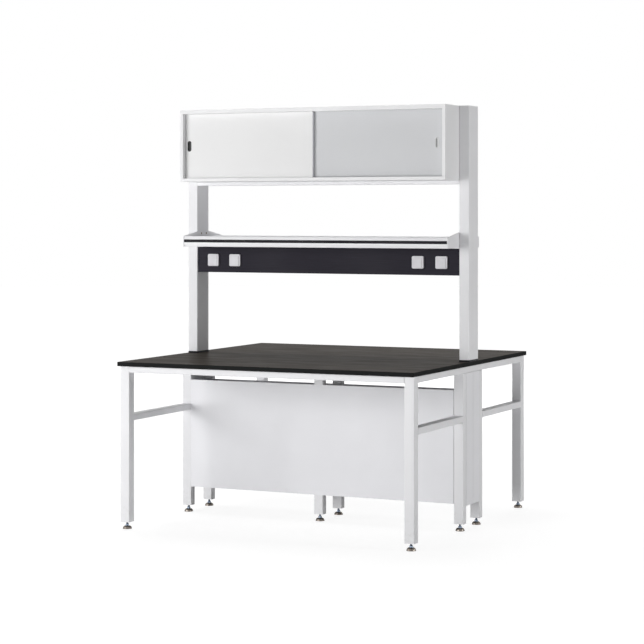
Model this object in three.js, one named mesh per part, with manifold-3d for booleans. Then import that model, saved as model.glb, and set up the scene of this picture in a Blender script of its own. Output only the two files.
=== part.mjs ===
// Double-sided laboratory bench with a reagent shelf, a service panel and an upper cabinet.
// Millimetres, +Z up. The origin lies on the floor under the middle of the worktop,
// +X runs along the bench, and -Y is the side that the sliding doors and sockets face.

import * as THREE from 'three';
import { mergeVertices } from 'three/addons/utils/BufferGeometryUtils.js';
import Module from 'manifold-3d';

const wasm = await Module();
wasm.setup();

// Driving dimensions: worktop
const WORKTOP_LENGTH = 1500;
const WORKTOP_DEPTH = 1500;
const WORKTOP_THICKNESS = 20;
const WORKTOP_HEIGHT = 785;
const WORKTOP_CORNER_RADIUS = 4;
const WORKTOP_EDGE_ROUND = 1.5;
const END_OVERHANG = 5.5;
const FRONT_OVERHANG = 23;

// Driving dimensions: steel frame of the two benches, which stand back to back
const LEG_WIDTH = 48;
const MID_LEG_DEPTH = 40;
const MID_LEG_FRONT = 127;
const RAIL_HEIGHT = 30;
const CROSSBAR_HEIGHT = 31;
const CROSSBAR_LEVEL = 507;
const TUBE_WALL = 2;
const TUBE_CORNER_RADIUS = 4;
const LEG_PLATE_THICKNESS = 6;

// Driving dimensions: levelling feet
const FOOT_HEIGHT = 33.5;
const PAD_RADIUS = 22;
const PAD_RIM = 3;
const PAD_HEIGHT = 15;
const NUT_ACROSS_FLATS = 17;
const NUT_HEIGHT = 6;
const COLLAR_HEIGHT = 4;
const STUD_RADIUS = 5;
const STUD_LENGTH = 80;
const STUD_CLEARANCE = 0.4;

// Driving dimensions: folded sheet panels under the worktop
const SHEET = 1.5;
const PANEL_RETURN = 15;
const MODESTY_BOTTOM = 127;
const MODESTY_HEIGHT = 530;
const BACK_MODESTY_DROP = 16;
const COVER_BOTTOM = 115;
const COVER_SEAM_WIDTH = 2;
const COVER_SEAM_DEPTH = 1;
const PANEL_NOTCH_CLEARANCE = 1;

// Driving dimensions: posts
const POST_WIDTH = 50;
const POST_DEPTH = 120;
const POST_HEIGHT = 1200;
const POST_END_INSET = 2;
const POST_WALL = 2.5;
const POST_CORNER_RADIUS = 4;

// Driving dimensions: reagent shelf and its end brackets
const SHELF_DEPTH = 410;
const SHELF_EDGE_HEIGHT = 51;
const SHELF_TOP_LEVEL = 583;
const SHELF_WALL = 1.5;
const SHELF_EDGE_CROWN = 6;
const STRIP_GROOVE_HEIGHT = 12.5;
const STRIP_GROOVE_DEPTH = 3;
const STRIP_GROOVE_RISE = 21.8;
const BRACKET_THICKNESS = 4;
const BRACKET_EAR_RISE = 23;

// Driving dimensions: service duct, its front panel and the sockets
const DUCT_HEIGHT = 125;
const DUCT_DROP = 4;
const DUCT_RECESS = 8;
const DUCT_WALL = 2;
const FASCIA_THICKNESS = 3;
const SOCKET_END_DISTANCE = 90;
const SOCKET_PITCH = 120;
const SOCKET_DROP = 2;
const SOCKET_PLATE = 59;
const SOCKET_PLATE_RADIUS = 7;
const SOCKET_PLATE_THICKNESS = 9;
const SOCKET_WELL_RADIUS = 19.5;
const SOCKET_WELL_DEPTH = 17.5;
const SOCKET_CUP_WALL = 2.5;
const SOCKET_HOLE_CLEARANCE = 0.5;
const LID_WIDTH = 43;
const LID_HEIGHT = 48;
const LID_DROP = 3;
const LID_THICKNESS = 4;
const LID_SEAT_DEPTH = 2;
const LID_CLEARANCE = 0.5;
const LID_CORNER_RADIUS = 5;

// Driving dimensions: upper cabinet with two sliding doors
const CABINET_HEIGHT = 350;
const CABINET_PROJECTION = 177;
const BOARD = 16;
const TOP_BOARD = 19;
const BEAM_HEIGHT = 17;
const BEAM_WALL = 2;
const DOOR_THICKNESS = 15;
const DOOR_RECESS = 28;
const DOOR_OVERLAP = 15;
const DOOR_END_GAP = 2;
const DOOR_EDGE_ROUND = 1;
const TRACK_WALL = 2;
const TRACK_SIDE_CLEARANCE = 0.5;
const LOWER_TRACK_HEIGHT = 6;
const UPPER_TRACK_HEIGHT = 11;
const UPPER_TRACK_ENGAGEMENT = 5;
const LEFT_PULL_INSET = 20;
const RIGHT_PULL_INSET = 40;
const PULL_WIDTH = 17;
const PULL_HEIGHT = 49;
const PULL_FLANGE = 1.5;
const PULL_FLANGE_THICKNESS = 1.2;
const PULL_WALL = 1.5;
const PULL_DEPTH = 8;

// Clearance between neighbouring pieces that are welded, screwed or laid against each other
const SEAT_GAP = 0.2;
const CUT_MARGIN = 5;
const ROUND_SEGMENTS = 20;
const FOOT_SEGMENTS = 16;
const DOME_STEPS = 4;
const TUBE_CORNER_STEPS = 2;
const PULL_STEPS = 4;
const CROWN_STEPS = 8;

// Finishes
function finish(color, roughness, metalness) {
  return new THREE.MeshStandardMaterial({ color, roughness, metalness });
}
const whitePaint = finish(0xeeeeee, 0.45, 0.1);
const blackWorktop = finish(0x3a3836, 0.4, 0.0);
const footSteel = finish(0x9a948c, 0.3, 0.9);
const whiteBoard = finish(0xefefef, 0.5, 0.0);
const greyBoard = finish(0xc9cac9, 0.35, 0.0);
const darkPanel = finish(0x2e2c33, 0.4, 0.2);
const socketWhite = finish(0xe4e3df, 0.4, 0.0);
const pullBlack = finish(0x1c1c1e, 0.5, 0.0);
const pullGrey = finish(0xa9aaa9, 0.45, 0.0);
const trackAluminium = finish(0xb9babb, 0.4, 0.8);

// Solid helpers: joins and cuts work on merged, closed triangle meshes
function toSolid(geometry) {
  const bare = geometry.clone();
  bare.deleteAttribute('normal');
  bare.deleteAttribute('uv');
  const merged = mergeVertices(bare, 1e-4);
  const vertProperties = new Float32Array(merged.attributes.position.array);
  const triVerts = new Uint32Array(merged.index.array);
  return new wasm.Manifold(new wasm.Mesh({ numProp: 3, vertProperties, triVerts }));
}

function toGeometry(solid) {
  const mesh = solid.getMesh();
  const geometry = new THREE.BufferGeometry();
  geometry.setAttribute('position', new THREE.BufferAttribute(mesh.vertProperties, 3));
  geometry.setIndex(new THREE.BufferAttribute(mesh.triVerts, 1));
  geometry.computeVertexNormals();
  return geometry;
}

// Joins the first list of geometries and cuts the second list away
function carve(joined, cuts) {
  let solid = toSolid(joined[0]);
  for (const piece of joined.slice(1)) {
    solid = solid.add(toSolid(piece));
  }
  for (const piece of cuts) {
    solid = solid.subtract(toSolid(piece));
  }
  return toGeometry(solid);
}

// A box between two corners
function block(low, high) {
  const size = high.map((value, axis) => value - low[axis]);
  const geometry = new THREE.BoxGeometry(...size);
  return geometry.translate(...low.map((value, axis) => value + size[axis] / 2));
}

// Traces a rounded rectangle, centred at the origin, on a shape or a hole
function traceRounded(path, width, height, radius) {
  const x = width / 2;
  const y = height / 2;
  const r = Math.min(radius, x, y);
  path.moveTo(x, -y + r);
  path.lineTo(x, y - r);
  path.absarc(x - r, y - r, r, 0, Math.PI / 2);
  path.lineTo(-x + r, y);
  path.absarc(-x + r, y - r, r, Math.PI / 2, Math.PI);
  path.lineTo(-x, -y + r);
  path.absarc(-x + r, -y + r, r, Math.PI, Math.PI * 1.5);
  path.lineTo(x - r, -y);
  path.absarc(x - r, -y + r, r, Math.PI * 1.5, Math.PI * 2);
  return path;
}

function roundedShape(width, height, radius) {
  return traceRounded(new THREE.Shape(), width, height, radius);
}

function polygon(points) {
  return new THREE.Shape(points.map(([x, y]) => new THREE.Vector2(x, y)));
}

// Extrudes a shape along +Z from zero
function extrude(shape, length, curveSegments = TUBE_CORNER_STEPS) {
  return new THREE.ExtrudeGeometry(shape, { depth: length, bevelEnabled: false, curveSegments });
}

// Turns an extrusion so that shape x, shape y and its length lie along Y, Z and X
function alongX(geometry) {
  const turn = new THREE.Matrix4().makeBasis(
    new THREE.Vector3(0, 1, 0),
    new THREE.Vector3(0, 0, 1),
    new THREE.Vector3(1, 0, 0),
  );
  return geometry.applyMatrix4(turn);
}

// Turns an extrusion so that shape x, shape y and its length lie along X, Z and -Y
function towardsFront(geometry) {
  return geometry.rotateX(Math.PI / 2);
}

// Turns an extrusion so that shape x, shape y and its length lie along Z, X and Y
function alongY(geometry) {
  const turn = new THREE.Matrix4().makeBasis(
    new THREE.Vector3(0, 0, 1),
    new THREE.Vector3(1, 0, 0),
    new THREE.Vector3(0, 1, 0),
  );
  return geometry.applyMatrix4(turn);
}

// A rectangular tube with open ends, its length along +Z from zero
function tube(width, height, length, wall, radius) {
  const section = roundedShape(width, height, radius);
  const bore = new THREE.Path();
  const innerRadius = Math.max(radius - wall, wall / 4);
  traceRounded(bore, width - 2 * wall, height - 2 * wall, innerRadius);
  section.holes.push(bore);
  return extrude(section, length);
}

const bench = new THREE.Group();

function addPart(parent, name, geometry, material, x = 0, y = 0, z = 0) {
  const mesh = new THREE.Mesh(geometry, material);
  mesh.name = name;
  mesh.position.set(x, y, z);
  parent.add(mesh);
  return mesh;
}

// Places that several pieces share
const worktopUnderside = WORKTOP_HEIGHT - WORKTOP_THICKNESS;
const frameTop = worktopUnderside - SEAT_GAP;
const railBottom = frameTop - RAIL_HEIGHT;
const frameEnd = WORKTOP_LENGTH / 2 - END_OVERHANG;
const frameInnerEnd = frameEnd - LEG_WIDTH;
const frameFront = WORKTOP_DEPTH / 2 - FRONT_OVERHANG;
const frameInnerFront = frameFront - LEG_WIDTH;
const legX = frameEnd - LEG_WIDTH / 2;
const cornerLegY = frameFront - LEG_WIDTH / 2;
const midLegBack = MID_LEG_FRONT - MID_LEG_DEPTH;
const midLegY = MID_LEG_FRONT - MID_LEG_DEPTH / 2;
const innerSpan = 2 * (frameInnerEnd - SEAT_GAP);
const SIDES = [['front', -1], ['back', 1]];
const ENDS = [['left', -1], ['right', 1]];

// Worktop: one slab with eased edges
function makeWorktop() {
  const ease = WORKTOP_EDGE_ROUND;
  const shape = roundedShape(
    WORKTOP_LENGTH - 2 * ease,
    WORKTOP_DEPTH - 2 * ease,
    WORKTOP_CORNER_RADIUS,
  );
  return new THREE.ExtrudeGeometry(shape, {
    depth: WORKTOP_THICKNESS - 2 * ease,
    bevelThickness: ease,
    bevelSize: ease,
    bevelSegments: 2,
    curveSegments: 4,
  }).translate(0, 0, ease);
}

addPart(bench, 'worktop', makeWorktop(), blackWorktop, 0, 0, worktopUnderside);

// Frame: square corner legs, flat mid legs, rails under the worktop and low crossbars
const frame = new THREE.Group();
bench.add(frame);

// A leg tube with a welded plate at its lower end, drilled for the levelling stud
function makeLeg(width, depth, top) {
  const length = top - FOOT_HEIGHT;
  const outer = extrude(roundedShape(width, depth, TUBE_CORNER_RADIUS), length);
  const boreRadius = Math.max(TUBE_CORNER_RADIUS - TUBE_WALL, TUBE_WALL / 4);
  const boreShape = roundedShape(width - 2 * TUBE_WALL, depth - 2 * TUBE_WALL, boreRadius);
  const bore = extrude(boreShape, length).translate(0, 0, LEG_PLATE_THICKNESS);
  const holeRadius = STUD_RADIUS + STUD_CLEARANCE;
  const hole = new THREE.CylinderGeometry(holeRadius, holeRadius, 4 * LEG_PLATE_THICKNESS, FOOT_SEGMENTS);
  hole.rotateX(Math.PI / 2);
  return carve([outer], [bore, hole]);
}

const cornerLeg = makeLeg(LEG_WIDTH, LEG_WIDTH, frameTop);
const midLeg = makeLeg(LEG_WIDTH, MID_LEG_DEPTH, railBottom - SEAT_GAP);

// A levelling foot: domed pad, hexagon for the spanner, collar and threaded stud
function makeFoot() {
  const nutTop = PAD_HEIGHT + NUT_HEIGHT;
  const waist = NUT_ACROSS_FLATS / 2;
  const ease = PAD_RIM / 3;
  const dome = new THREE.EllipseCurve(
    waist, PAD_RIM, PAD_RADIUS - waist, PAD_HEIGHT - PAD_RIM, 0, Math.PI / 2,
  ).getPoints(DOME_STEPS);
  const points = [
    new THREE.Vector2(0, 0),
    new THREE.Vector2(PAD_RADIUS - ease, 0),
    new THREE.Vector2(PAD_RADIUS, ease),
    ...dome,
    new THREE.Vector2(waist, nutTop),
    new THREE.Vector2(STUD_RADIUS, nutTop + COLLAR_HEIGHT),
    new THREE.Vector2(STUD_RADIUS, STUD_LENGTH - ease),
    new THREE.Vector2(STUD_RADIUS - ease, STUD_LENGTH),
    new THREE.Vector2(0, STUD_LENGTH),
  ];
  const turned = new THREE.LatheGeometry(points, FOOT_SEGMENTS).rotateX(Math.PI / 2);
  const nutRadius = NUT_ACROSS_FLATS / Math.sqrt(3);
  const nut = new THREE.CylinderGeometry(nutRadius, nutRadius, NUT_HEIGHT, 6);
  nut.rotateX(Math.PI / 2).translate(0, 0, PAD_HEIGHT + NUT_HEIGHT / 2);
  return carve([turned, nut], []);
}

const footShape = makeFoot();

function addLeg(name, geometry, x, y) {
  addPart(frame, `leg_${name}`, geometry, whitePaint, x, y, FOOT_HEIGHT);
  addPart(frame, `foot_${name}`, footShape, footSteel, x, y, 0);
}

const longRailTube = alongX(tube(LEG_WIDTH, RAIL_HEIGHT, innerSpan, TUBE_WALL, TUBE_CORNER_RADIUS));
const midRailTube = alongX(tube(MID_LEG_DEPTH, RAIL_HEIGHT, innerSpan, TUBE_WALL, TUBE_CORNER_RADIUS));
const endRailLength = frameInnerFront - 2 * SEAT_GAP;
const endRailTube = alongY(tube(RAIL_HEIGHT, LEG_WIDTH, endRailLength, TUBE_WALL, TUBE_CORNER_RADIUS));
const crossbarLength = frameInnerFront - MID_LEG_FRONT - 2 * SEAT_GAP;
const crossbarTube = alongY(
  tube(CROSSBAR_HEIGHT, LEG_WIDTH, crossbarLength, TUBE_WALL, TUBE_CORNER_RADIUS),
);
const railZ = railBottom + RAIL_HEIGHT / 2;
const crossbarZ = CROSSBAR_LEVEL + CROSSBAR_HEIGHT / 2;

for (const [side, ySign] of SIDES) {
  addPart(frame, `long_rail_${side}`, longRailTube, whitePaint, -innerSpan / 2, ySign * cornerLegY, railZ);
  addPart(frame, `mid_rail_${side}`, midRailTube, whitePaint, -innerSpan / 2, ySign * midLegY, railZ);
  addLeg(`mid_${side}_centre`, midLeg, 0, ySign * midLegY);
  const endRailStart = ySign < 0 ? -frameInnerFront + SEAT_GAP : SEAT_GAP;
  const crossbarStart = ySign < 0 ? -frameInnerFront + SEAT_GAP : MID_LEG_FRONT + SEAT_GAP;
  for (const [end, xSign] of ENDS) {
    const x = xSign * legX;
    addLeg(`corner_${side}_${end}`, cornerLeg, x, ySign * cornerLegY);
    addLeg(`mid_${side}_${end}`, midLeg, x, ySign * midLegY);
    addPart(frame, `end_rail_${side}_${end}`, endRailTube, whitePaint, x, endRailStart, railZ);
    addPart(frame, `crossbar_${side}_${end}`, crossbarTube, whitePaint, x, crossbarStart, crossbarZ);
  }
}

// Folded sheet panels: the face lies at y = 0 and the returns run back along +Y
function makeFoldedPanel(width, height, cuts) {
  const low = [-width / 2, 0, 0];
  const high = [width / 2, PANEL_RETURN, height];
  const inside = block(
    [low[0] + SHEET, SHEET, SHEET],
    [high[0] - SHEET, PANEL_RETURN + CUT_MARGIN, height - SHEET],
  );
  return carve([block(low, high)], [inside, ...cuts]);
}

// Modesty panels hang in front of the centre legs, and their returns are notched round them.
// The back one hangs a little lower.
const notchHalf = LEG_WIDTH / 2 + PANEL_NOTCH_CLEARANCE;
const modestyNotch = block(
  [-notchHalf, SHEET, -CUT_MARGIN],
  [notchHalf, PANEL_RETURN + CUT_MARGIN, MODESTY_HEIGHT + CUT_MARGIN],
);
const modestyPanel = makeFoldedPanel(innerSpan, MODESTY_HEIGHT, [modestyNotch]);
const modestyFront = MID_LEG_FRONT + SEAT_GAP + SHEET;
for (const [side, ySign] of SIDES) {
  const panelZ = MODESTY_BOTTOM - (ySign < 0 ? 0 : BACK_MODESTY_DROP);
  const panel = addPart(
    frame, `modesty_panel_${side}`, modestyPanel, whitePaint, 0, ySign * modestyFront, panelZ,
  );
  panel.rotation.z = ySign < 0 ? 0 : Math.PI;
}

// End covers close the service void between the mid legs, with a seam line down the middle
const coverWidth = 2 * (midLegBack - SEAT_GAP);
const coverHeight = railBottom - SEAT_GAP - COVER_BOTTOM;
const coverSeam = block(
  [-COVER_SEAM_WIDTH / 2, -CUT_MARGIN, -CUT_MARGIN],
  [COVER_SEAM_WIDTH / 2, COVER_SEAM_DEPTH, coverHeight + CUT_MARGIN],
);
const endCover = makeFoldedPanel(coverWidth, coverHeight, [coverSeam]);
for (const [end, xSign] of ENDS) {
  const cover = addPart(frame, `end_cover_${end}`, endCover, whitePaint, xSign * frameEnd, 0, COVER_BOTTOM);
  cover.rotation.z = xSign * Math.PI / 2;
}

// Posts: capped rectangular tubes that stand on the worktop
const superstructure = new THREE.Group();
superstructure.position.z = WORKTOP_HEIGHT;
bench.add(superstructure);

const postOuterX = WORKTOP_LENGTH / 2 - POST_END_INSET;
const postX = postOuterX - POST_WIDTH / 2;
const clearHalf = postOuterX - POST_WIDTH;
const postFront = POST_DEPTH / 2;

function makePost() {
  const outer = extrude(roundedShape(POST_WIDTH, POST_DEPTH, POST_CORNER_RADIUS), POST_HEIGHT);
  const boreRadius = Math.max(POST_CORNER_RADIUS - POST_WALL, POST_WALL / 4);
  const boreShape = roundedShape(POST_WIDTH - 2 * POST_WALL, POST_DEPTH - 2 * POST_WALL, boreRadius);
  const bore = extrude(boreShape, POST_HEIGHT - POST_WALL + CUT_MARGIN).translate(0, 0, -CUT_MARGIN);
  return carve([outer], [bore]);
}

const post = makePost();
for (const [end, xSign] of ENDS) {
  addPart(superstructure, `post_${end}`, post, whitePaint, xSign * postX, 0, SEAT_GAP);
}

// Reagent shelf: a hollow board between two end brackets, grooved along both long edges
const bracketX = clearHalf - SEAT_GAP - BRACKET_THICKNESS;
const shelfHalf = bracketX - SEAT_GAP;
const shelfBottom = SHELF_TOP_LEVEL - SHELF_EDGE_HEIGHT;

function makeShelf() {
  const length = 2 * shelfHalf;
  const crownPeak = SHELF_DEPTH / 2 + SHELF_EDGE_CROWN;
  const crownStart = SHELF_DEPTH / 2 - SHELF_EDGE_CROWN;
  const halfHeight = SHELF_EDGE_HEIGHT / 2;
  const section = new THREE.Shape();
  section.moveTo(crownStart, -halfHeight);
  section.quadraticCurveTo(crownPeak, 0, crownStart, halfHeight);
  section.lineTo(-crownStart, halfHeight);
  section.quadraticCurveTo(-crownPeak, 0, -crownStart, -halfHeight);
  section.closePath();
  const bore = new THREE.Path();
  const skin = STRIP_GROOVE_DEPTH + SHELF_WALL + SHELF_EDGE_CROWN;
  traceRounded(bore, SHELF_DEPTH - 2 * skin, SHELF_EDGE_HEIGHT - 2 * SHELF_WALL, SHELF_WALL / 2);
  section.holes.push(bore);
  const body = alongX(extrude(section, length, CROWN_STEPS)).translate(-shelfHalf, 0, halfHeight);
  const grooveInner = SHELF_DEPTH / 2 - STRIP_GROOVE_DEPTH;
  const grooves = SIDES.map(([, ySign]) => block(
    [-clearHalf, Math.min(ySign * grooveInner, ySign * SHELF_DEPTH), STRIP_GROOVE_RISE],
    [clearHalf, Math.max(ySign * grooveInner, ySign * SHELF_DEPTH), STRIP_GROOVE_RISE + STRIP_GROOVE_HEIGHT],
  ));
  return carve([body], grooves);
}

addPart(superstructure, 'reagent_shelf', makeShelf(), whitePaint, 0, 0, shelfBottom);

// End brackets: plates on the posts' inner faces that rise from the shelf edges to the post
const bracketShape = polygon([
  [-SHELF_DEPTH / 2, 0],
  [SHELF_DEPTH / 2, 0],
  [SHELF_DEPTH / 2, SHELF_EDGE_HEIGHT],
  [postFront, SHELF_EDGE_HEIGHT + BRACKET_EAR_RISE],
  [-postFront, SHELF_EDGE_HEIGHT + BRACKET_EAR_RISE],
  [-SHELF_DEPTH / 2, SHELF_EDGE_HEIGHT],
]);
const bracket = alongX(extrude(bracketShape, BRACKET_THICKNESS));
for (const [end, xSign] of ENDS) {
  const start = xSign < 0 ? -bracketX - BRACKET_THICKNESS : bracketX;
  addPart(superstructure, `shelf_bracket_${end}`, bracket, whitePaint, start, 0, shelfBottom);
}

// Service duct under the shelf: a channel that is open to the front, closed by a drilled panel
const ductTop = shelfBottom - DUCT_DROP;
const ductBottom = ductTop - DUCT_HEIGHT;
const ductHalf = clearHalf - SEAT_GAP;
const fasciaFront = -postFront + DUCT_RECESS;
const fasciaBack = fasciaFront + FASCIA_THICKNESS;
const ductFront = fasciaBack + SEAT_GAP;
const ductBack = postFront - DUCT_RECESS;
const ductMiddle = (ductTop + ductBottom) / 2;
const socketZ = ductMiddle - SOCKET_DROP;
const innerSocketX = clearHalf - SOCKET_END_DISTANCE - SOCKET_PITCH;
const outerSocketX = clearHalf - SOCKET_END_DISTANCE;
const SOCKETS = [-outerSocketX, -innerSocketX, innerSocketX, outerSocketX];
const cupRadius = SOCKET_WELL_RADIUS + SOCKET_CUP_WALL;

const ductSection = polygon([
  [ductFront, 0],
  [ductBack, 0],
  [ductBack, DUCT_HEIGHT],
  [ductFront, DUCT_HEIGHT],
  [ductFront, DUCT_HEIGHT - DUCT_WALL],
  [ductBack - DUCT_WALL, DUCT_HEIGHT - DUCT_WALL],
  [ductBack - DUCT_WALL, DUCT_WALL],
  [ductFront, DUCT_WALL],
]);
const duct = alongX(extrude(ductSection, 2 * ductHalf));
addPart(superstructure, 'service_duct', duct, darkPanel, -ductHalf, 0, ductBottom);

// The panel's sockets sit in round holes
function makeFascia() {
  const shape = roundedShape(2 * ductHalf, DUCT_HEIGHT, FASCIA_THICKNESS / 2);
  for (const x of SOCKETS) {
    const hole = new THREE.Path();
    hole.absarc(x, -SOCKET_DROP, cupRadius + SOCKET_HOLE_CLEARANCE, 0, Math.PI * 2);
    shape.holes.push(hole);
  }
  return towardsFront(extrude(shape, FASCIA_THICKNESS, ROUND_SEGMENTS / 2));
}

addPart(superstructure, 'service_panel', makeFascia(), darkPanel, 0, fasciaBack, ductMiddle);

// A socket: rounded plate with a shallow lid seat, and a plug well in a cup behind the panel
const lidHinge = LID_HEIGHT / 2 - LID_THICKNESS / 2;

function makeSocket() {
  const plateShape = roundedShape(SOCKET_PLATE, SOCKET_PLATE, SOCKET_PLATE_RADIUS);
  const plate = towardsFront(extrude(plateShape, SOCKET_PLATE_THICKNESS, 4));
  const wellFloor = SOCKET_WELL_DEPTH + LID_SEAT_DEPTH - SOCKET_PLATE_THICKNESS;
  const cupLength = wellFloor + SOCKET_CUP_WALL + SOCKET_PLATE_THICKNESS / 2;
  const cup = new THREE.CylinderGeometry(cupRadius, cupRadius, cupLength, ROUND_SEGMENTS);
  cup.translate(0, cupLength / 2 - SOCKET_PLATE_THICKNESS / 2, 0);
  const wellLength = wellFloor + SOCKET_PLATE_THICKNESS + CUT_MARGIN;
  const well = new THREE.CylinderGeometry(
    SOCKET_WELL_RADIUS, SOCKET_WELL_RADIUS, wellLength, ROUND_SEGMENTS,
  );
  well.translate(0, wellFloor - wellLength / 2, 0);
  const seatShape = roundedShape(
    LID_WIDTH + 2 * LID_CLEARANCE,
    LID_HEIGHT + 2 * LID_CLEARANCE,
    LID_CLEARANCE,
  );
  const seat = towardsFront(extrude(seatShape, LID_SEAT_DEPTH + CUT_MARGIN));
  seat.translate(0, LID_SEAT_DEPTH - SOCKET_PLATE_THICKNESS, -LID_DROP);
  return carve([plate, cup], [well, seat]);
}

// A lid: rounded over its whole top edge, about the hinge axis, with soft lower corners
function makeLid() {
  const r = LID_THICKNESS / 2;
  const section = new THREE.Shape();
  section.moveTo(r, lidHinge);
  section.absarc(0, lidHinge, r, 0, Math.PI);
  section.lineTo(-r, -LID_HEIGHT / 2);
  section.lineTo(r, -LID_HEIGHT / 2);
  section.closePath();
  const body = alongX(extrude(section, LID_WIDTH, 6)).translate(-LID_WIDTH / 2, 0, 0);
  const outlineHeight = LID_HEIGHT + 2 * LID_CORNER_RADIUS;
  const outline = towardsFront(
    extrude(roundedShape(LID_WIDTH + SEAT_GAP, outlineHeight, LID_CORNER_RADIUS), 2 * LID_THICKNESS, 4),
  );
  outline.translate(0, LID_THICKNESS, LID_CORNER_RADIUS);
  return toGeometry(toSolid(body).intersect(toSolid(outline)));
}

const socket = makeSocket();
const lid = makeLid();
const plateBack = fasciaFront - SEAT_GAP;
const lidSeat = plateBack - SOCKET_PLATE_THICKNESS + LID_SEAT_DEPTH;
const lidY = lidSeat - SEAT_GAP - LID_THICKNESS / 2;
SOCKETS.forEach((x, index) => {
  addPart(superstructure, `socket_${index + 1}`, socket, socketWhite, x, plateBack, socketZ);
  addPart(superstructure, `socket_lid_${index + 1}`, lid, socketWhite, x, lidY, socketZ - LID_DROP);
});

// Upper cabinet: a boarded case on a beam between the posts, open to the front
const cabinet = new THREE.Group();
const caseBottom = POST_HEIGHT + SEAT_GAP - CABINET_HEIGHT;
cabinet.position.z = caseBottom;
superstructure.add(cabinet);

const caseHalf = clearHalf - SEAT_GAP;
const caseFront = -postFront - CABINET_PROJECTION;
const caseBack = postFront;
const caseInnerHalf = caseHalf - BOARD;
const grooveWidth = DOOR_THICKNESS + 2 * TRACK_SIDE_CLEARANCE;
const trackDepth = 2 * grooveWidth + 3 * TRACK_WALL;
const trackFront = caseFront + DOOR_RECESS - TRACK_SIDE_CLEARANCE - TRACK_WALL;
const trackHalf = caseInnerHalf - SEAT_GAP;
const lowerTrackZ = BOARD - LOWER_TRACK_HEIGHT;
const caseInnerTop = CABINET_HEIGHT - TOP_BOARD;
const upperTrackZ = caseInnerTop + UPPER_TRACK_HEIGHT;

// The tracks are let into slots in the bottom and top boards
function makeCase() {
  const shell = block([-caseHalf, caseFront, 0], [caseHalf, caseBack, CABINET_HEIGHT]);
  const inside = block(
    [-caseInnerHalf, caseFront - CUT_MARGIN, BOARD],
    [caseInnerHalf, caseBack - BOARD, caseInnerTop],
  );
  const slotLevels = [
    [lowerTrackZ - SEAT_GAP, BOARD + CUT_MARGIN],
    [caseInnerTop - CUT_MARGIN, upperTrackZ + SEAT_GAP],
  ];
  const slots = slotLevels.map(([low, high]) => block(
    [-caseInnerHalf, trackFront - SEAT_GAP, low],
    [caseInnerHalf, trackFront + trackDepth + SEAT_GAP, high],
  ));
  return carve([shell], [inside, ...slots]);
}

addPart(cabinet, 'cabinet_case', makeCase(), whiteBoard);

const beam = alongX(tube(POST_DEPTH, BEAM_HEIGHT, 2 * caseHalf, BEAM_WALL, BEAM_WALL));
const beamZ = -SEAT_GAP - BEAM_HEIGHT / 2;
addPart(cabinet, 'cabinet_beam', beam, whitePaint, -caseHalf, 0, beamZ);

// Door tracks: two grooves side by side, shallow below and deep above
function makeTrack(height) {
  const section = roundedShape(trackDepth, height, 0);
  const bar = alongX(extrude(section, 2 * trackHalf)).translate(-trackHalf, trackDepth / 2, height / 2);
  const grooves = [0, 1].map((index) => {
    const start = TRACK_WALL + index * (grooveWidth + TRACK_WALL);
    return block(
      [-caseHalf, start, TRACK_WALL],
      [caseHalf, start + grooveWidth, height + CUT_MARGIN],
    );
  });
  return carve([bar], grooves);
}

addPart(
  cabinet, 'door_track_lower', makeTrack(LOWER_TRACK_HEIGHT), trackAluminium,
  0, trackFront, lowerTrackZ,
);
const upperTrack = addPart(
  cabinet, 'door_track_upper', makeTrack(UPPER_TRACK_HEIGHT), trackAluminium,
  0, trackFront + trackDepth, upperTrackZ,
);
upperTrack.rotation.x = Math.PI;

// Sliding doors: the left one runs in the front groove, the right one in the rear groove
const doorReach = caseInnerHalf - DOOR_END_GAP;
const doorLength = doorReach + DOOR_OVERLAP / 2;
const doorBottom = lowerTrackZ + TRACK_WALL + SEAT_GAP;
const doorTop = caseInnerTop + UPPER_TRACK_ENGAGEMENT;
const doorHeight = doorTop - doorBottom;
const doorZ = (doorTop + doorBottom) / 2;

function obround(width, height) {
  return roundedShape(width, height, width / 2);
}

function makeDoor(pullShift) {
  const shape = roundedShape(doorLength, doorHeight, DOOR_EDGE_ROUND);
  const slab = towardsFront(extrude(shape, DOOR_THICKNESS));
  const pocketShape = obround(PULL_WIDTH + 2 * SEAT_GAP, PULL_HEIGHT + 2 * SEAT_GAP);
  const pocket = towardsFront(extrude(pocketShape, PULL_DEPTH + SEAT_GAP + CUT_MARGIN, PULL_STEPS));
  pocket.translate(pullShift, PULL_DEPTH + SEAT_GAP - DOOR_THICKNESS, 0);
  return carve([slab], [pocket]);
}

// A finger pull: a cup with a thin flange that lies on the door's face
function makePull() {
  const flangeShape = obround(PULL_WIDTH + 2 * PULL_FLANGE, PULL_HEIGHT + 2 * PULL_FLANGE);
  const flange = towardsFront(extrude(flangeShape, PULL_FLANGE_THICKNESS, PULL_STEPS));
  const body = towardsFront(extrude(obround(PULL_WIDTH, PULL_HEIGHT), PULL_DEPTH, PULL_STEPS));
  body.translate(0, PULL_DEPTH - SEAT_GAP, 0);
  const hollowShape = obround(PULL_WIDTH - 2 * PULL_WALL, PULL_HEIGHT - 2 * PULL_WALL);
  const hollow = towardsFront(extrude(hollowShape, PULL_DEPTH + CUT_MARGIN, PULL_STEPS));
  hollow.translate(0, PULL_DEPTH - SEAT_GAP - PULL_WALL, 0);
  return carve([flange, body], [hollow]);
}

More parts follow.
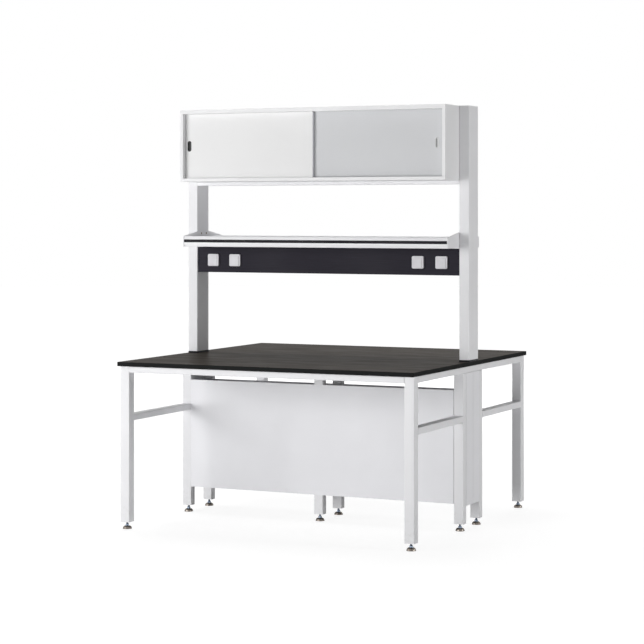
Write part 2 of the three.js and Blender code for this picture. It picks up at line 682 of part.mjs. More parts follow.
const pull = makePull();
const DOORS = [
  ['left', -1, caseFront + DOOR_RECESS, LEFT_PULL_INSET, whiteBoard, pullBlack],
  ['right', 1, caseFront + DOOR_RECESS + grooveWidth + TRACK_WALL, RIGHT_PULL_INSET, greyBoard, pullGrey],
];
for (const [end, xSign, faceY, pullInset, doorFinish, pullFinish] of DOORS) {
  const x = xSign * (doorReach - doorLength / 2);
  const pullShift = xSign * (doorLength / 2 - pullInset);
  addPart(cabinet, `door_${end}`, makeDoor(pullShift), doorFinish, x, faceY + DOOR_THICKNESS, doorZ);
  addPart(cabinet, `door_pull_${end}`, pull, pullFinish, x + pullShift, faceY - SEAT_GAP, doorZ);
}

export default bench;
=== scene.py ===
import math

import bmesh
import bpy
from mathutils import Matrix, Vector


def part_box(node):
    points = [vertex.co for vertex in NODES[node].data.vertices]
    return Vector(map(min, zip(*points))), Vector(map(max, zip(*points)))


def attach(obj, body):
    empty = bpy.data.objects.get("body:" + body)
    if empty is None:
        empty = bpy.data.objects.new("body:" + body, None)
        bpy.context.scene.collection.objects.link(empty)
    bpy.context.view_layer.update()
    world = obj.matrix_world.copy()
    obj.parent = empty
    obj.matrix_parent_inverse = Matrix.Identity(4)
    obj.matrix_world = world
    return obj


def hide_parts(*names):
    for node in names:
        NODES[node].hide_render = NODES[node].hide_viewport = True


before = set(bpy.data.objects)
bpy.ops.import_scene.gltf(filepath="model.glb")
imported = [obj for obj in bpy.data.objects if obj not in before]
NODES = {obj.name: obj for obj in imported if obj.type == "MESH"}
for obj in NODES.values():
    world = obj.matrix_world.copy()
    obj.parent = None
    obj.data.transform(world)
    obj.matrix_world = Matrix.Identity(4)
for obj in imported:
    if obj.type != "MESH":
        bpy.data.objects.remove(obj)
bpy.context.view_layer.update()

MM = 0.001
TURN = 2 * math.pi
QUARTER = math.pi / 2
WELD_DISTANCE = 1e-7
SCENE = bpy.context.scene

# Camera, level with two-point perspective
CAMERA_PLACE = (4.0388, -8.7347, 1.4849)
CAMERA_TURN = math.radians(25.03)
CAMERA_LENS = 110.57
CAMERA_SENSOR = 36
CAMERA_SHIFT = -0.1702
CAMERA_REACH = 100

# Studio light: name, place, target, width and height, power, and whether gloss shows the lamp
WORLD_LEVEL = 0.06
LAMPS = [
    ("key", (-4.2, -7.2, 1.6), (0, 0, 1.1), (4.6, 3.2), 378, True),
    ("top", (-2.2, 1.5, 8.0), (0, 0, 1.0), (5.0, 4.0), 225, False),
    ("side", (9.0, 0.0, 1.6), (0, 0, 1.0), (1.1, 3.0), 244, True),
    ("low", (0.8, -8.6, 0.75), (0, 0, 1.25), (4.0, 1.2), 118, False),
    ("fill", (4.8, -8.3, 1.5), (0, 0, 1.2), (3.0, 2.2), 38, False),
    ("back", (-1.5, 9.0, 2.6), (0, 0, 1.0), (5.0, 3.0), 330, False),
]

# Floor: glow near the object and far away as the camera sees it, and the grey that bounces light
FLOOR_RADIUS = 30.0
FLOOR_SEGMENTS = 64
FLOOR_GLOW = 0.86
FLOOR_FAR_GLOW = 1.0
FLOOR_NEAR = 1.8
FLOOR_FAR = 6.5
FLOOR_SHADE = 0.3
FLOOR_BOUNCE = 0.8

# Worktop skin, measured down from its top face
WORKTOP_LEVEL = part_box("worktop")[1].z
SKIN_DEPTH = 0.8 * MM

# Levelling foot, as in the CAD part, with a thread
PAD_RADIUS = 22.0 * MM
PAD_RIM = 3.0 * MM
PAD_HEIGHT = 15.0 * MM
PAD_POINTS = 64
PAD_EDGE = ((0.93, 0.0), (0.98, 0.1), (1.0, 0.35), (1.0, 0.7), (0.985, 0.92), (0.955, 1.0))
DOME_STEPS = 10
NUT_FLAT = 8.5 * MM
NUT_TOP = 21.0 * MM
NUT_CHAMFER = 0.7 * MM
NUT_CHAMFER_RADIUS = 1.02 * NUT_FLAT
NUT_POINTS = 48
COLLAR_RADIUS = 0.96 * NUT_FLAT
COLLAR_TOP = 25.0 * MM
STUD_RADIUS = 5.0 * MM
STUD_TOP = 80.0 * MM
STUD_CHAMFER = 1.0 * MM
STUD_POINTS = 32
THREAD_TOP = 62.0 * MM
THREAD_PITCH = 1.5 * MM
THREAD_DEPTH = 0.55 * MM
SMOOTH_LIMIT = math.radians(32)
PLATING_BLUR = 0.4 * MM

# Ranges of a noise or of a result, as low and high
FULL = (0.0, 1.0)
MIDDLE = (0.35, 0.65)
WIDE = (0.3, 0.7)
SATIN = (0.4, 0.5)

# Dust low on painted pieces, by height above the floor
DUST_HEIGHT = (0.03, 0.2)


def srgb(red, green, blue):
    """Linear colour of an 8-bit display colour."""
    def linear(level):
        value = level / 255
        if value <= 0.04045:
            return value / 12.92
        return ((value + 0.055) / 1.055) ** 2.4

    return (linear(red), linear(green), linear(blue), 1.0)


def shade(colour, factor):
    """A colour, made darker or lighter."""
    return tuple(min(1.0, part * factor) for part in colour[:3]) + (1.0,)


# Material building

class Paint:
    """One node material, with short calls for the nodes that it needs."""

    SOCKETS = {
        "colour": "Base Color",
        "roughness": "Roughness",
        "metallic": "Metallic",
        "specular": "Specular IOR Level",
    }

    def __init__(self, name):
        self.material = bpy.data.materials.new(name)
        self.material.use_nodes = True
        self.tree = self.material.node_tree
        self.shader = self.tree.nodes["Principled BSDF"]
        self.place = self.add("ShaderNodeTexCoord").outputs["Object"]

    def add(self, kind):
        return self.tree.nodes.new(kind)

    def put(self, value, socket):
        if isinstance(value, bpy.types.NodeSocket):
            self.tree.links.new(value, socket)
        else:
            socket.default_value = value

    def stretch(self, x, y, z):
        """The place, scaled along each axis."""
        node = self.add("ShaderNodeVectorMath")
        node.operation = "MULTIPLY"
        self.put(self.place, node.inputs[0])
        node.inputs[1].default_value = (x, y, z)
        return node.outputs[0]

    def noise(self, scale, detail, roughness=0.5, vector=None):
        node = self.add("ShaderNodeTexNoise")
        self.put(self.place if vector is None else vector, node.inputs["Vector"])
        node.inputs["Scale"].default_value = scale
        node.inputs["Detail"].default_value = detail
        node.inputs["Roughness"].default_value = roughness
        return node.outputs[0]

    def level(self, value, span, result):
        """A value mapped smoothly from one range to another."""
        node = self.add("ShaderNodeMapRange")
        node.interpolation_type = "SMOOTHSTEP"
        self.put(value, node.inputs["Value"])
        self.put(span[0], node.inputs["From Min"])
        self.put(span[1], node.inputs["From Max"])
        self.put(result[0], node.inputs["To Min"])
        self.put(result[1], node.inputs["To Max"])
        return node.outputs[0]

    def product(self, first, second):
        node = self.add("ShaderNodeMath")
        node.operation = "MULTIPLY"
        self.put(first, node.inputs[0])
        self.put(second, node.inputs[1])
        return node.outputs[0]

    def blend(self, factor, first, second):
        node = self.add("ShaderNodeMix")
        node.data_type = "RGBA"
        self.put(factor, node.inputs[0])
        self.put(first, node.inputs[6])
        self.put(second, node.inputs[7])
        return node.outputs[2]

    def vary(self, factor, colour, low, high):
        """A colour that goes from a darker to a lighter tone."""
        return self.blend(factor, shade(colour, low), shade(colour, high))

    def height(self):
        node = self.add("ShaderNodeSeparateXYZ")
        self.put(self.place, node.inputs[0])
        return node.outputs[2]

    def bump(self, height, depth, strength, edge=0.0):
        """Fine relief, on a surface whose edges are eased by a radius."""
        node = self.add("ShaderNodeBump")
        if edge > 0:
            eased = self.add("ShaderNodeBevel")
            eased.samples = 6
            eased.inputs["Radius"].default_value = edge
            self.put(eased.outputs[0], node.inputs["Normal"])
        node.inputs["Strength"].default_value = strength
        node.inputs["Distance"].default_value = depth
        self.put(height, node.inputs["Height"])
        self.put(node.outputs[0], self.shader.inputs["Normal"])

    def set(self, **values):
        for name, value in values.items():
            self.put(value, self.shader.inputs[self.SOCKETS[name]])
        return self.material


def powder_coat(name, colour, grain):
    """Baked white paint: faint clouding, orange peel and dust low on the piece."""
    paint = Paint(name)
    cloud = paint.level(paint.noise(scale=2.6, detail=3.0), MIDDLE, FULL)
    tone = paint.vary(cloud, colour, 0.972, 1.01)
    speck = paint.level(paint.noise(scale=900.0, detail=1.0), (0.66, 0.74), (0.0, 0.25))
    tone = paint.blend(speck, tone, shade(colour, 0.9))
    low = paint.level(paint.height(), DUST_HEIGHT, (1.0, 0.0))
    scuff = paint.noise(scale=38.0, detail=4.0, roughness=0.65)
    scuff = paint.level(scuff, (0.5, 0.72), (0.0, 0.16))
    tone = paint.blend(paint.product(low, scuff), tone, srgb(176, 172, 165))
    gloss = paint.level(paint.noise(scale=70.0, detail=2.0), WIDE, SATIN)
    peel = paint.noise(scale=grain, detail=2.0, roughness=0.55)
    paint.bump(peel, depth=0.12 * MM, strength=0.5, edge=1.2 * MM)
    return paint.set(colour=tone, roughness=gloss, specular=0.22)


def laminate(name, colour):
    """Laminated board: fine pressed pores and a soft change of tone along the board."""
    paint = Paint(name)
    cloud = paint.level(paint.noise(scale=1.7, detail=2.0), MIDDLE, FULL)
    tone = paint.vary(cloud, colour, 0.975, 1.008)
    along = paint.stretch(0.35, 1.0, 1.0)
    pores = paint.noise(scale=260.0, detail=3.0, roughness=0.6, vector=along)
    tone = paint.blend(paint.level(pores, (0.6, 0.75), (0.0, 0.3)), tone, shade(colour, 0.93))
    gloss = paint.level(paint.noise(scale=45.0, detail=2.0), WIDE, SATIN)
    paint.bump(pores, depth=0.1 * MM, strength=0.45, edge=0.8 * MM)
    return paint.set(colour=tone, roughness=gloss, specular=0.2)


def resin_top(name, colour, edge_colour):
    """Dark worktop: a skin with long faint streaks and fine flecks, and a darker, plain edge."""
    paint = Paint(name)
    along = paint.stretch(0.16, 1.6, 1.6)
    streak = paint.noise(scale=9.0, detail=5.0, roughness=0.6, vector=along)
    streak = paint.level(streak, (0.36, 0.66), FULL)
    tone = paint.vary(streak, colour, 0.86, 1.16)
    fleck = paint.level(paint.noise(scale=1400.0, detail=1.0), (0.62, 0.72), (0.0, 0.5))
    tone = paint.blend(fleck, tone, shade(colour, 1.6))
    grit = paint.level(paint.noise(scale=240.0, detail=3.0, roughness=0.6), WIDE, FULL)
    core = paint.vary(grit, edge_colour, 0.86, 1.14)
    span = (WORKTOP_LEVEL - SKIN_DEPTH, WORKTOP_LEVEL - 0.5 * SKIN_DEPTH)
    tone = paint.blend(paint.level(paint.height(), span, FULL), core, tone)
    rub = paint.noise(scale=14.0, detail=4.0, roughness=0.6, vector=paint.stretch(0.3, 1.0, 1.0))
    gloss = paint.level(rub, WIDE, (0.36, 0.44))
    paint.bump(paint.noise(scale=1100.0, detail=2.0), depth=0.06 * MM, strength=0.35)
    return paint.set(colour=tone, roughness=gloss, specular=0.003)


def plated_foot(name):
    """Warm nickel on the pad, blue zinc on the hexagon and stud."""
    paint = Paint(name)
    split = (PAD_HEIGHT - PLATING_BLUR, PAD_HEIGHT + PLATING_BLUR)
    upper = paint.level(paint.height(), split, FULL)
    stain = paint.noise(scale=130.0, detail=4.0, roughness=0.6)
    stain = paint.level(stain, (0.38, 0.66), FULL)
    pad = paint.blend(stain, srgb(138, 131, 124), srgb(98, 91, 85))
    zinc = paint.blend(stain, srgb(134, 144, 158), srgb(92, 102, 116))
    tone = paint.blend(upper, pad, zinc)
    gloss = paint.level(stain, FULL, (0.26, 0.42))
    paint.bump(paint.noise(scale=500.0, detail=2.0), depth=0.06 * MM, strength=0.4, edge=0.5 * MM)
    return paint.set(colour=tone, metallic=1.0, roughness=gloss)


def anodised(name, colour):
    """Dark anodised sheet, brushed along its length."""
    paint = Paint(name)
    along = paint.stretch(0.02, 1.0, 1.0)
    brush = paint.noise(scale=420.0, detail=3.0, roughness=0.6, vector=along)
    tone = paint.vary(paint.level(brush, WIDE, FULL), colour, 0.9, 1.12)
    gloss = paint.level(paint.noise(scale=3.0, detail=2.0), MIDDLE, (0.5, 0.58))
    paint.bump(brush, depth=0.05 * MM, strength=0.3)
    return paint.set(colour=tone, roughness=gloss, specular=0.08)


def moulded(name, colour):
    """Moulded plastic with a fine spark texture."""
    paint = Paint(name)
    cloud = paint.level(paint.noise(scale=26.0, detail=2.0), MIDDLE, FULL)
    tone = paint.vary(cloud, colour, 0.95, 1.03)
    gloss = paint.level(paint.noise(scale=160.0, detail=2.0), WIDE, (0.39, 0.51))
    paint.bump(paint.noise(scale=1300.0, detail=1.0), depth=0.06 * MM, strength=0.5, edge=0.9 * MM)
    return paint.set(colour=tone, roughness=gloss, specular=0.4)


def extruded(name, colour):
    """Satin metal with drawing lines along its length."""
    paint = Paint(name)
    along = paint.stretch(0.01, 1.0, 1.0)
    lines = paint.noise(scale=700.0, detail=3.0, roughness=0.6, vector=along)
    tone = paint.vary(paint.level(lines, WIDE, FULL), colour, 0.86, 1.06)
    gloss = paint.level(lines, WIDE, (0.3, 0.42))
    paint.bump(lines, depth=0.05 * MM, strength=0.4)
    return paint.set(colour=tone, metallic=1.0, roughness=gloss)


def rubber(name, colour):
    """Black extruded rubber, matt, with a dusty bloom."""
    paint = Paint(name)
    along = paint.stretch(0.2, 1.0, 1.0)
    bloom = paint.noise(scale=30.0, detail=4.0, roughness=0.6, vector=along)
    bloom = paint.level(bloom, (0.4, 0.7), FULL)
    tone = paint.blend(bloom, colour, shade(colour, 1.4))
    paint.bump(paint.noise(scale=800.0, detail=2.0), depth=0.06 * MM, strength=0.4)
    return paint.set(colour=tone, roughness=paint.level(bloom, FULL, (0.5, 0.62)), specular=0.15)


FRAME_PAINT = powder_coat("powder_coat_frame", srgb(236, 236, 238), grain=520.0)
# Painted light: a lighter copy of the frame's white paint for the shelf and the beam, lifting the
# shade that the cabinet casts on the beam and the shade on the shelf
SHELF_PAINT_LIGHTENED = powder_coat("powder_coat_shelf_painted_light", srgb(246, 246, 248), grain=520.0)
PANEL_PAINT = powder_coat("powder_coat_panel", srgb(239, 239, 242), grain=620.0)
BOARD_WHITE = laminate("laminate_white", srgb(240, 240, 241))
DOOR_WHITE = laminate("laminate_door_white", srgb(234, 234, 234))
DOOR_GREY = laminate("laminate_door_grey", srgb(208, 209, 211))
WORKTOP = resin_top("resin_worktop", srgb(66, 61, 56), srgb(36, 37, 37))
FOOT_STEEL = plated_foot("plated_foot")
DARK_PANEL = anodised("anodised_panel", srgb(39, 37, 45))
SOCKET_WHITE = moulded("socket_plastic", srgb(210, 209, 213))
TRACK_METAL = extruded("track_aluminium", srgb(196, 197, 199))
PULL_BLACK = moulded("pull_plastic_black", srgb(27, 27, 28))
PULL_GREY = moulded("pull_plastic_grey", srgb(206, 207, 207))
SEAL_GREY = moulded("seal_plastic_grey", srgb(246, 247, 254))
BLACK_RUBBER = rubber("strip_rubber", srgb(13, 12, 18))
SCREW_STEEL = extruded("screw_steel", srgb(120, 104, 84))
CONTACT_METAL = extruded("contact_nickel", srgb(196, 192, 184))
INSERT_PLASTIC = moulded("insert_plastic", srgb(190, 190, 194))

MATERIAL_BY_START = [
    ("worktop", WORKTOP),
    ("foot_", FOOT_STEEL),
    ("modesty_panel", PANEL_PAINT),
    ("end_cover", PANEL_PAINT),
    ("cabinet_case", BOARD_WHITE),
    # The beam and the shelf take the lighter copy of the white paint, which is painted light
    # against their shade
    ("cabinet_beam", SHELF_PAINT_LIGHTENED),
    ("reagent_shelf", SHELF_PAINT_LIGHTENED),
    ("service_panel", DARK_PANEL),
    ("service_duct", DARK_PANEL),
    ("socket_", SOCKET_WHITE),
    ("door_track", TRACK_METAL),
    ("door_pull_left", PULL_BLACK),
    ("door_pull_right", PULL_GREY),
    ("door_left", DOOR_WHITE),
    ("door_right", DOOR_GREY),
    ("", FRAME_PAINT),
]

for node_name, node_object in NODES.items():
    finish = next(item for start, item in MATERIAL_BY_START if node_name.startswith(start))
    node_object.data.materials.clear()
    node_object.data.materials.append(finish)


# Mesh building

# Turns a shape that stands on the plane z = 0 so that it faces the front of the bench
FACE_FRONT = Matrix.Rotation(QUARTER, 4, "X")


def piece(name, mesh, body, material):
    """A finished piece that rides on a body."""
    data = bpy.data.meshes.new(name)
    bmesh.ops.recalc_face_normals(mesh, faces=mesh.faces)
    mesh.to_mesh(data)
    mesh.free()
    data.materials.append(material)
    thing = bpy.data.objects.new(name, data)
    SCENE.collection.objects.link(thing)
    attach(thing, body)
    return thing


def loft(rings, closed_ends=True):
    """A mesh through rings of points, with flat ends."""
    mesh = bmesh.new()
    rows = [[mesh.verts.new(point) for point in ring] for ring in rings]
    count = len(rows[0])
    for lower, upper in zip(rows, rows[1:]):
        for index in range(count):
            after = (index + 1) % count
            mesh.faces.new((lower[index], lower[after], upper[after], upper[index]))
    if closed_ends:
        mesh.faces.new(rows[0])
        mesh.faces.new(rows[-1])
    return mesh


def join(target, source, matrix):
    """Adds a mesh to another at a place."""
    data = bpy.data.meshes.new("join")
    source.transform(matrix)
    source.to_mesh(data)
    source.free()
    target.from_mesh(data)
    bpy.data.meshes.remove(data)


def rounded_rectangle(width, height, radius, steps):
    """Points round a rectangle with rounded corners, about the origin."""
    points = []
    for quarter in range(4):
        sign_x = 1 if quarter in (0, 3) else -1
        sign_y = 1 if quarter in (0, 1) else -1
        centre_x = sign_x * (width / 2 - radius)
        centre_y = sign_y * (height / 2 - radius)
        for step in range(steps + 1):
            angle = (quarter + step / steps) * QUARTER
            points.append((centre_x + radius * math.cos(angle),
                           centre_y + radius * math.sin(angle)))
    return points


# Rubber strips in the long edges of the shelf: a stem in the groove and a wider, crowned head
STRIP_STEM = 11.9 * MM
STRIP_HEAD = 14.4 * MM
STRIP_DEPTH = 2.8 * MM
STRIP_PROUD = 1.1 * MM
STRIP_CROWN = ((0.35, 1.0), (0.7, 0.88), (1.0, 0.6))
STRIP_RISE = 28.05 * MM
STRIP_END_GAP = 0.6 * MM

shelf_low, shelf_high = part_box("reagent_shelf")


def shelf_strip(name, edge, outward):
    stem = STRIP_STEM / 2
    head = STRIP_HEAD / 2
    upper = [(-STRIP_DEPTH, stem), (0.0, stem), (0.0, head)]
    upper += [(out * STRIP_PROUD, up * head) for out, up in STRIP_CROWN]
    outline = upper + [(out, -up) for out, up in reversed(upper)]
    level = shelf_low.z + STRIP_RISE
    rings = []
    for x in (shelf_low.x + STRIP_END_GAP, shelf_high.x - STRIP_END_GAP):
        rings.append([(x, edge + outward * out, level + up) for out, up in outline])
    return piece(name, loft(rings), "bench", BLACK_RUBBER)


shelf_strip("shelf_strip_front", shelf_low.y, -1)
shelf_strip("shelf_strip_back", shelf_high.y, 1)


# Black trim round the foot of each post
TRIM_WIDTH = 1.7 * MM
TRIM_HEIGHT = 8.0 * MM
TRIM_SECTION = ((0, 0), (1, 0), (1, 0.6), (0.45, 1), (0, 1), (0, 0))
TRIM_GAP = 0.1 * MM
TRIM_STEPS = 4
POST_CORNER = 4.0 * MM


def post_trim(side):
    low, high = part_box("post_" + side)
    centre = (low + high) / 2
    width = high.x - low.x + 2 * TRIM_GAP
    depth = high.y - low.y + 2 * TRIM_GAP
    base = WORKTOP_LEVEL + TRIM_GAP
    rings = []
    for out, up in TRIM_SECTION:
        grow = out * TRIM_WIDTH
        outline = rounded_rectangle(width + 2 * grow, depth + 2 * grow,
                                    POST_CORNER + grow, TRIM_STEPS)
        level = base + up * TRIM_HEIGHT
        rings.append([(centre.x + x, centre.y + y, level) for x, y in outline])
    mesh = loft(rings, closed_ends=False)
    bmesh.ops.remove_doubles(mesh, verts=mesh.verts, dist=WELD_DISTANCE)
    return piece("post_trim_" + side, mesh, "bench", BLACK_RUBBER)


post_trim("left")
post_trim("right")


# Cross-head screws in the ears of the shelf brackets
SCREW_RADIUS = 4.2 * MM
SCREW_HEIGHT = 2.2 * MM
SCREW_DOME = ((1.0, 0.0), (1.0, 0.35), (0.93, 0.68), (0.76, 0.92), (0.62, 1.0))
SCREW_RECESS = ((1.0, 1.0), (0.6, 0.3))
SCREW_ARM = 2.1 * MM
SCREW_ARM_WIDTH = 0.55 * MM
SCREW_POINTS = 32
SCREW_SPREAD = 25.5 * MM
SCREW_LEVEL = 1380.8 * MM
NEAR_ZERO = 1e-6


def cross_radius(angle):
    """Distance to the outline of the screw's cross at an angle."""
    along = max(abs(math.cos(angle)), abs(math.sin(angle)))
    across = min(abs(math.cos(angle)), abs(math.sin(angle)))
    return min(SCREW_ARM / along, SCREW_ARM_WIDTH / max(across, NEAR_ZERO))


def screw_head():
    """A pan head with a cross recess, standing on the plane z = 0."""
    angles = [(index + 0.5) / SCREW_POINTS * TURN for index in range(SCREW_POINTS)]
    rows = [([share * SCREW_RADIUS] * SCREW_POINTS, rise) for share, rise in SCREW_DOME]
    rows += [([share * cross_radius(a) for a in angles], rise) for share, rise in SCREW_RECESS]
    rings = []
    for radii, rise in rows:
        rings.append([(radius * math.cos(angle), radius * math.sin(angle), rise * SCREW_HEIGHT)
                      for radius, angle in zip(radii, angles)])
    return loft(rings)


for side, inward in (("left", 1), ("right", -1)):
    bracket_low, bracket_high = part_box("shelf_bracket_" + side)
    face = bracket_high.x if inward > 0 else bracket_low.x
    face_inward = Matrix.Rotation(inward * QUARTER, 4, "Y")
    screws = bmesh.new()
    for spread in (-SCREW_SPREAD, SCREW_SPREAD):
        stand = Matrix.Translation((face, spread, SCREW_LEVEL))
        join(screws, screw_head(), stand @ face_inward)
    piece("bracket_screws_" + side, screws, "bench", SCREW_STEEL)


# Grey seals on the meeting edges of the doors
SEAL_THICKNESS = 1.4 * MM
SEAL_ROUND = 0.6 * MM
SEAL_STEPS = 3
SEAL_GAP = 0.05 * MM
SEAL_TRIM = 1.0 * MM
SEAL_FOOT_GAP = 8.0 * MM
SEAL_HEAD_GAP = 10.0 * MM

for side, outward in (("left", 1), ("right", -1)):
    door_low, door_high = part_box("door_" + side)
    edge = door_high.x if outward > 0 else door_low.x
    centre_x = edge + outward * (SEAL_GAP + SEAL_THICKNESS / 2)
    centre_y = (door_low.y + door_high.y) / 2
    depth = door_high.y - door_low.y - SEAL_TRIM
    outline = rounded_rectangle(SEAL_THICKNESS, depth, SEAL_ROUND, SEAL_STEPS)
    levels = (door_low.z + SEAL_FOOT_GAP, door_high.z - SEAL_HEAD_GAP)
    rings = [[(centre_x + x, centre_y + y, z) for x, y in outline] for z in levels]
    piece("door_seal_" + side, loft(rings), "door_" + side, SEAL_GREY)


# Insert, earth contacts and pin shutters at the bottom of each socket's well
SOCKET_COUNT = 4
WELL_FLOOR = -41.7 * MM
WELL_RADIUS = 19.5 * MM
INSERT_THICKNESS = 1.5 * MM
INSERT_GAP = 0.15 * MM
INSERT_POINTS = 40
PIN_SPREAD = 9.5 * MM
PIN_RADIUS = 2.7 * MM
PIN_POINTS = 20
CLIP_WIDTH = 6.0 * MM
CLIP_THICKNESS = 0.7 * MM
CLIP_BOW_MM = ((0.0, 0.0), (0.9, 3.0), (1.7, 6.0), (1.9, 8.5), (1.2, 11.0), (0.3, 12.5))
SHUTTER_RADIUS = 2.5 * MM
SHUTTER_THICKNESS = 0.5 * MM
SHUTTER_DISH = ((1.0, 0.0), (1.0, 1.0), (0.8, 1.0), (0.55, 0.6), (0.3, 0.5))
SHUTTER_POINTS = 20


def socket_insert():
    """A flat disc with two pin holes, as a mesh about the origin."""
    outline = bpy.data.curves.new("insert", "CURVE")
    outline.dimensions = "2D"
    outline.fill_mode = "BOTH"
    outline.extrude = INSERT_THICKNESS / 2
    for centre, radius, count in ((0, WELL_RADIUS - INSERT_GAP, INSERT_POINTS),
                                  (-PIN_SPREAD, PIN_RADIUS, PIN_POINTS),
                                  (PIN_SPREAD, PIN_RADIUS, PIN_POINTS)):
        spline = outline.splines.new("POLY")
        spline.points.add(count - 1)
        spline.use_cyclic_u = True
        for index, point in enumerate(spline.points):
            angle = index / count * TURN
            point.co = (centre + radius * math.cos(angle), radius * math.sin(angle), 0, 1)
    holder = bpy.data.objects.new("insert", outline)
    mesh = bmesh.new()
    mesh.from_mesh(holder.to_mesh())
    holder.to_mesh_clear()
    bpy.data.objects.remove(holder)
    bpy.data.curves.remove(outline)
    bmesh.ops.remove_doubles(mesh, verts=mesh.verts, dist=WELD_DISTANCE)
    return mesh


def earth_clip():
    """A bowed spring strip along z, bulging towards -y, with its back on y = 0."""
    half = CLIP_WIDTH / 2
    rings = []
    for bulge, height in CLIP_BOW_MM:
        far = -bulge * MM
        near = far - CLIP_THICKNESS
        z = height * MM
        rings.append([(-half, near, z), (half, near, z), (half, far, z), (-half, far, z)])
    return loft(rings)


def turned(profile, count, centre):
    """A closed turned shape about an upright axis."""
    angles = [index / count * TURN for index in range(count)]
    return loft([[(centre.x + r * math.cos(a), centre.y + r * math.sin(a), z) for a in angles]
                 for r, z in profile])


def pin_shutter():
    """A dished disc that closes a pin hole, standing on the plane z = 0."""
    profile = [(share * SHUTTER_RADIUS, rise * SHUTTER_THICKNESS) for share, rise in SHUTTER_DISH]
    return turned(profile, SHUTTER_POINTS, Vector((0, 0, 0)))


for number in range(1, SOCKET_COUNT + 1):
    plate_low, plate_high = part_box(f"socket_{number}")
    lid_low, lid_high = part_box(f"socket_lid_{number}")
    centre_x = (lid_low.x + lid_high.x) / 2
    centre_z = (plate_low.z + plate_high.z) / 2

    insert = bmesh.new()
    insert_y = WELL_FLOOR - INSERT_THICKNESS / 2 - INSERT_GAP
    stand = Matrix.Translation((centre_x, insert_y, centre_z))
    join(insert, socket_insert(), stand @ FACE_FRONT)
    piece(f"socket_insert_{number}", insert, "bench", INSERT_PLASTIC)

    clips = bmesh.new()
    clip_y = WELL_FLOOR - INSERT_THICKNESS - 2 * INSERT_GAP
    stand = Matrix.Translation((centre_x, clip_y, centre_z))
    out = Matrix.Translation((0, 0, WELL_RADIUS - INSERT_GAP))
    for turn in (0, math.pi):
        join(clips, earth_clip(), stand @ Matrix.Rotation(turn, 4, "Y") @ out @ FACE_FRONT)
    piece(f"socket_contacts_{number}", clips, "bench", CONTACT_METAL)

    shutters = bmesh.new()
    for offset in (-PIN_SPREAD, PIN_SPREAD):
        stand = Matrix.Translation((centre_x + offset, WELL_FLOOR - INSERT_GAP, centre_z))
        join(shutters, pin_shutter(), stand @ FACE_FRONT)
    piece(f"socket_shutters_{number}", shutters, "bench", PULL_BLACK)


# Levelling feet with a rolled pad, a chamfered hexagon and a threaded stud

def pad_profile():
    profile = [(share * PAD_RADIUS, rise * PAD_RIM) for share, rise in PAD_EDGE]
    reach = profile[-1][0] - NUT_FLAT
    for step in range(1, DOME_STEPS + 1):
        angle = step / DOME_STEPS * QUARTER
        profile.append((NUT_FLAT + reach * math.cos(angle),
                        PAD_RIM + (PAD_HEIGHT - PAD_RIM) * math.sin(angle)))
    return profile


def hexagon_nut(centre):
    """A nut whose upper and lower corners are turned off."""
    full_radius = 2 * NUT_FLAT
    levels = [(PAD_HEIGHT, NUT_CHAMFER_RADIUS), (PAD_HEIGHT + NUT_CHAMFER, full_radius),
              (NUT_TOP - NUT_CHAMFER, full_radius), (NUT_TOP, NUT_CHAMFER_RADIUS)]
    rings = []
    for z, limit in levels:
        ring = []
        for index in range(NUT_POINTS):
            angle = index / NUT_POINTS * TURN
            flat = NUT_FLAT / math.cos(angle % (TURN / 6) - TURN / 12)
            radius = min(flat, limit)
            ring.append((centre.x + radius * math.cos(angle),
                         centre.y + radius * math.sin(angle), z))
        rings.append(ring)
    return loft(rings)


def stud_profile():
    profile = [(COLLAR_RADIUS, NUT_TOP), (STUD_RADIUS, COLLAR_TOP)]
    turns = round((THREAD_TOP - COLLAR_TOP) / THREAD_PITCH)
    for index in range(turns):
        root = COLLAR_TOP + (index + 0.5) * THREAD_PITCH
        profile.append((STUD_RADIUS - THREAD_DEPTH, root))
        profile.append((STUD_RADIUS, root + 0.5 * THREAD_PITCH))
    profile.append((STUD_RADIUS, STUD_TOP - STUD_CHAMFER))
    profile.append((STUD_RADIUS - STUD_CHAMFER, STUD_TOP))
    return profile


def levelling_foot(node):
    """A detailed foot in place of the plain CAD foot, on the foot's own body."""
    low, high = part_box(node)
    centre = (low + high) / 2
    mesh = turned(pad_profile(), PAD_POINTS, centre)
    join(mesh, hexagon_nut(centre), Matrix())
    join(mesh, turned(stud_profile(), STUD_POINTS, centre), Matrix())
    foot = piece(node + "_detail", mesh, node, FOOT_STEEL)
    foot.data.polygons.foreach_set("use_smooth", [True] * len(foot.data.polygons))
    foot.data.set_sharp_from_angle(angle=SMOOTH_LIMIT)
    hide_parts(node)


for node_name in sorted(NODES):
    if node_name.startswith("foot_"):
        levelling_foot(node_name)


# Stage

def seen_rays(tree):
    """One for rays of the camera, of gloss and through glass, and nought for the rest."""
    rays = tree.nodes.new("ShaderNodeLightPath")
    seen = rays.outputs["Is Camera Ray"]
    for name in ("Is Glossy Ray", "Is Transmission Ray"):
        either = tree.nodes.new("ShaderNodeMath")
        either.operation = "MAXIMUM"
        tree.links.new(seen, either.inputs[0])
        tree.links.new(rays.outputs[name], either.inputs[1])
        seen = either.outputs[0]
    return seen


def split_by_ray(tree, output, unseen, seen):
    """Ends a tree with one shader for the rays that are seen and another for the rest."""
    out = tree.nodes.new(output)
    pick = tree.nodes.new("ShaderNodeMixShader")
    tree.links.new(seen_rays(tree), pick.inputs[0])
    tree.links.new(unseen.outputs[0], pick.inputs[1])
    tree.links.new(seen.outputs[0], pick.inputs[2])
    tree.links.new(pick.outputs[0], out.inputs[0])


def grey_diffuse(tree, level):
    node = tree.nodes.new("ShaderNodeBsdfDiffuse")
    node.inputs["Color"].default_value = (level, level, level, 1)
    return node


def white_light(tree, strength):
    node = tree.nodes.new("ShaderNodeBackground")
    node.inputs["Color"].default_value = (1, 1, 1, 1)
    node.inputs["Strength"].default_value = strength
    return node


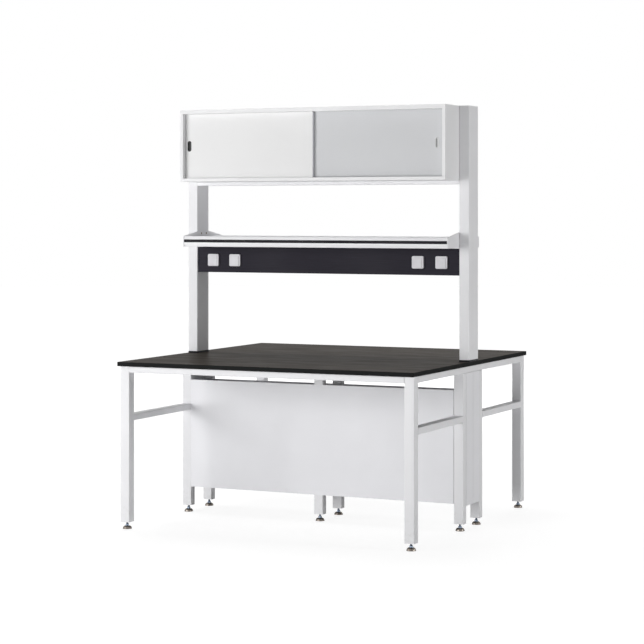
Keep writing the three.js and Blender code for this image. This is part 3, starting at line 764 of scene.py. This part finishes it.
def floor_glow(tree):
    """Light towards the camera that rises from near the object to far away."""
    place = tree.nodes.new("ShaderNodeTexCoord")
    reach = tree.nodes.new("ShaderNodeVectorMath")
    reach.operation = "LENGTH"
    tree.links.new(place.outputs["Object"], reach.inputs[0])
    spread = tree.nodes.new("ShaderNodeMapRange")
    spread.interpolation_type = "SMOOTHSTEP"
    for socket, value in (("From Min", FLOOR_NEAR), ("From Max", FLOOR_FAR),
                          ("To Min", FLOOR_GLOW), ("To Max", FLOOR_FAR_GLOW)):
        spread.inputs[socket].default_value = value
    tree.links.new(reach.outputs["Value"], spread.inputs["Value"])
    glow = tree.nodes.new("ShaderNodeEmission")
    tree.links.new(spread.outputs[0], glow.inputs["Strength"])
    return glow


def build_floor():
    mesh = bmesh.new()
    bmesh.ops.create_circle(mesh, cap_ends=True, segments=FLOOR_SEGMENTS, radius=FLOOR_RADIUS)
    data = bpy.data.meshes.new("floor")
    mesh.to_mesh(data)
    mesh.free()
    floor = bpy.data.objects.new("floor", data)
    SCENE.collection.objects.link(floor)
    material = bpy.data.materials.new("floor_white")
    material.use_nodes = True
    tree = material.node_tree
    tree.nodes.clear()
    both = tree.nodes.new("ShaderNodeAddShader")
    tree.links.new(floor_glow(tree).outputs[0], both.inputs[0])
    tree.links.new(grey_diffuse(tree, FLOOR_SHADE).outputs[0], both.inputs[1])
    split_by_ray(tree, "ShaderNodeOutputMaterial", grey_diffuse(tree, FLOOR_BOUNCE), both)
    data.materials.append(material)


def build_world():
    """White to the camera and a plain grey light to the object."""
    world = bpy.data.worlds.new("studio")
    SCENE.world = world
    world.use_nodes = True
    tree = world.node_tree
    tree.nodes.clear()
    split_by_ray(tree, "ShaderNodeOutputWorld", white_light(tree, WORLD_LEVEL),
                 white_light(tree, 1.0))


def softbox(name, place, target, size, power, glossy):
    lamp = bpy.data.lights.new(name, "AREA")
    lamp.shape = "RECTANGLE"
    lamp.size = size[0]
    lamp.size_y = size[1]
    lamp.energy = power
    thing = bpy.data.objects.new(name, lamp)
    thing.location = place
    aim = Vector(target) - Vector(place)
    thing.rotation_euler = aim.to_track_quat("-Z", "Y").to_euler()
    thing.visible_camera = False
    thing.visible_glossy = glossy
    SCENE.collection.objects.link(thing)


build_floor()
build_world()
for lamp_values in LAMPS:
    softbox(*lamp_values)

lens = bpy.data.cameras.new("camera")
lens.lens = CAMERA_LENS
lens.sensor_width = CAMERA_SENSOR
lens.shift_y = CAMERA_SHIFT
lens.clip_end = CAMERA_REACH
camera = bpy.data.objects.new("camera", lens)
camera.location = CAMERA_PLACE
camera.rotation_euler = (QUARTER, 0, CAMERA_TURN)
SCENE.collection.objects.link(camera)
SCENE.camera = camera
SCENE.view_settings.view_transform = "Standard"
